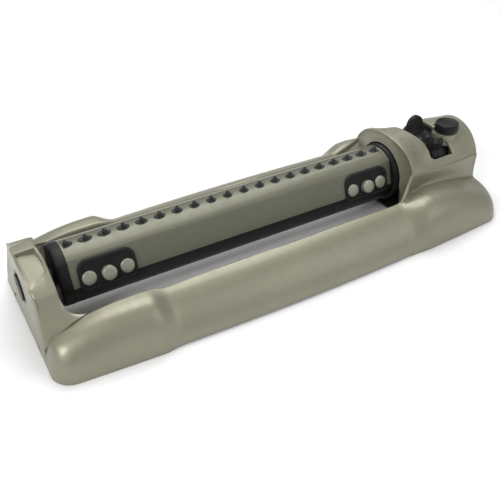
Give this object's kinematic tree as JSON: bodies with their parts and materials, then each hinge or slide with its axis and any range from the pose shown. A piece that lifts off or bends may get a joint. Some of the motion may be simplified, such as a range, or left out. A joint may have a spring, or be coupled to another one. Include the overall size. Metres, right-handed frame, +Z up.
{
  "type": "oscillating lawn sprinkler",
  "caption": "Lawn sprinkler with a hollow bowed base, a swinging tube with a row of jets and zone buttons, and an arched motor housing with range tabs, flow knob and swivel hose nut.",
  "frame": {"origin": "centre of the footprint at ground level", "axes": "+X along the spray tube to the hose end, -Y the button side, +Z up"},
  "size_m": [0.484, 0.188, 0.096],
  "materials": {
    "champagne_metal": "semi-gloss metallic paint",
    "tube_metal": "satin metallic paint",
    "black_plastic": "satin moulded plastic",
    "button_silver": "satin silver paint on plastic",
    "soft_rubber": "soft rubber",
    "gear_plastic": "natural acetal",
    "screw_steel": "plain steel",
    "nut_plastic": "ribbed plastic",
    "filter_mesh": "woven screen"
  },
  "bodies": {
    "base": {"base_shell": "champagne_metal", "bottom_plate": "black_plastic", "plate_screws": "screw_steel", "gear_cover": "champagne_metal", "bearing_bush": "black_plastic", "motor_case": "black_plastic", "motor_lid": "black_plastic", "lay_pin": "screw_steel", "gear_plate": "gear_plastic", "valve_body": "black_plastic", "hose_washer": "soft_rubber", "inlet_filter": "filter_mesh"},
    "spray_tube": {"tube_body": "black_plastic", "tube_cover": "tube_metal", "nozzle_strip": "soft_rubber", "nozzles": "soft_rubber", "end_cap": "black_plastic", "journal_tower": "black_plastic", "flush_plug": "black_plastic", "end_hub": "black_plastic", "journal_motor": "black_plastic", "shaft_seal": "soft_rubber", "drive_gear": "gear_plastic", "button_pod_left": "black_plastic", "button_pod_right": "black_plastic"},
    "lay_gear": {"lay_gear": "gear_plastic"},
    "turbine": {"turbine": "gear_plastic"},
    "hose_nut": {"coupling_nut": "nut_plastic"},
    "rear_tab": {"range_tab_rear": "black_plastic"},
    "front_tab": {"range_tab_front": "black_plastic"},
    "flow_knob": {"flow_knob": "black_plastic"},
    "button_left_1": {"button_left_1": "button_silver"},
    "button_left_2": {"button_left_2": "button_silver"},
    "button_left_3": {"button_left_3": "button_silver"},
    "button_right_1": {"button_right_1": "button_silver"},
    "button_right_2": {"button_right_2": "button_silver"},
    "button_right_3": {"button_right_3": "button_silver"}
  },
  "joints": [
    {"name": "tube_swing", "type": "hinge", "parent": "base", "child": "spray_tube", "pos_m": [0, 0, 0.044], "axis": [1, 0, 0], "range_deg": [-45, 45]},
    {"name": "lay_gear_spin", "type": "hinge", "parent": "base", "child": "lay_gear", "pos_m": [0.17, 0, 0.0272], "axis": [1, 0, 0], "range_deg": [-117, 117]},
    {"name": "turbine_spin", "type": "hinge", "parent": "base", "child": "turbine", "pos_m": [0.19, 0, 0.044], "axis": [1, 0, 0], "range_deg": [-292, 292]},
    {"name": "hose_nut_spin", "type": "hinge", "parent": "base", "child": "hose_nut", "pos_m": [0.235, 0, 0.044], "axis": [1, 0, 0], "continuous": true},
    {"name": "rear_tab_slide", "type": "hinge", "parent": "base", "child": "rear_tab", "pos_m": [0.18, 0, 0.044], "axis": [1, 0, 0], "range_deg": [-45, 12]},
    {"name": "front_tab_slide", "type": "hinge", "parent": "base", "child": "front_tab", "pos_m": [0.18, 0, 0.044], "axis": [1, 0, 0], "range_deg": [-10, 12]},
    {"name": "flow_knob_turn", "type": "hinge", "parent": "base", "child": "flow_knob", "pos_m": [0.2105, -0.016, 0.084], "axis": [0, 0, 1], "range_deg": [-45, 45]},
    {"name": "button_left_1_press", "type": "slide", "parent": "spray_tube", "child": "button_left_1", "axis": [0, -0.9467, 0.3222], "range_m": [0, 0.0035]},
    {"name": "button_left_2_press", "type": "slide", "parent": "spray_tube", "child": "button_left_2", "axis": [0, -0.9467, 0.3222], "range_m": [-0.0035, 0]},
    {"name": "button_left_3_press", "type": "slide", "parent": "spray_tube", "child": "button_left_3", "axis": [0, -0.9467, 0.3222], "range_m": [0, 0.0035]},
    {"name": "button_right_1_press", "type": "slide", "parent": "spray_tube", "child": "button_right_1", "axis": [0, -0.9467, 0.3222], "range_m": [0, 0.0035]},
    {"name": "button_right_2_press", "type": "slide", "parent": "spray_tube", "child": "button_right_2", "axis": [0, -0.9467, 0.3222], "range_m": [-0.0035, 0]},
    {"name": "button_right_3_press", "type": "slide", "parent": "spray_tube", "child": "button_right_3", "axis": [0, -0.9467, 0.3222], "range_m": [0, 0.0035]}
  ],
  "couplings": [
    {"joint": "lay_gear_spin", "follows": "tube_swing", "ratio": -2.5},
    {"joint": "turbine_spin", "follows": "tube_swing", "ratio": 6.25}
  ]
}
